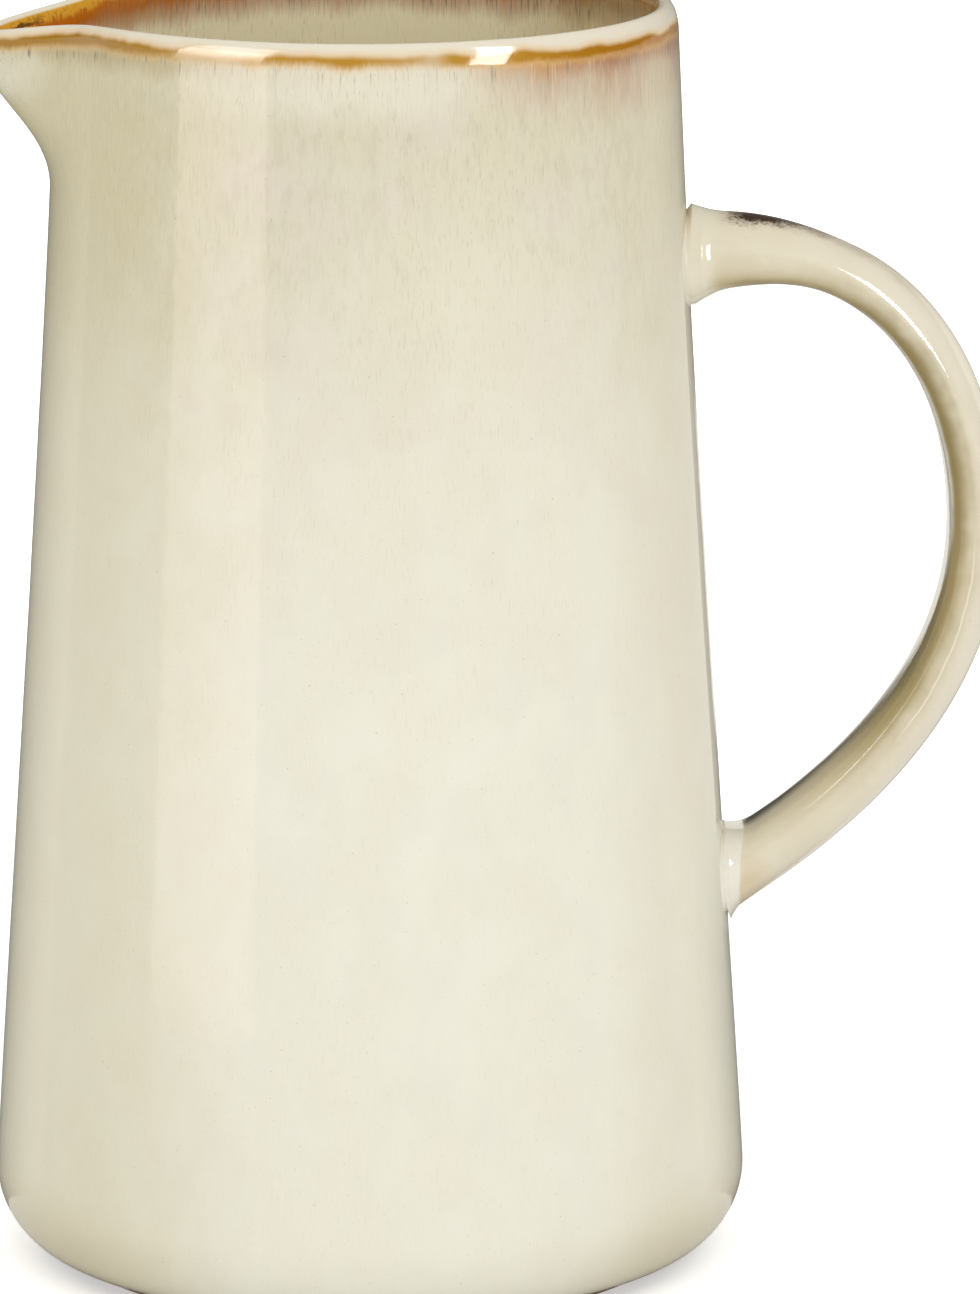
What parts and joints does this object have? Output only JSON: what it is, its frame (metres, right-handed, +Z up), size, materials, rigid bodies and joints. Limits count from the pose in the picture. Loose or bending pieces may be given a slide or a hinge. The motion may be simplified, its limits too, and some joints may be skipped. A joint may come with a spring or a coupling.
{
  "type": "jug",
  "caption": "Tapered glazed stoneware jug with a pouring lip, a rounded base on a foot ring and a strap handle stuck on with flared slip collars.",
  "frame": {"origin": "on the table under the middle of the overall length from lip tip to handle, in the jug's plane of symmetry", "axes": "+Z up, -X towards the pouring lip, +X towards the handle"},
  "size_m": [0.169, 0.1248, 0.21],
  "materials": {
    "body_glaze": "glossy cream reactive glaze, amber and brown where it breaks at the rim, bare stoneware on the foot ring",
    "handle_glaze": "glossy cream glaze, khaki and brown along the edges",
    "collar_glaze": "glossy pale cream glaze, pooled over the slip"
  },
  "bodies": {
    "root": {"body": "body_glaze", "handle": "handle_glaze", "upper_collar": "collar_glaze", "lower_collar": "collar_glaze"}
  },
  "joints": []
}
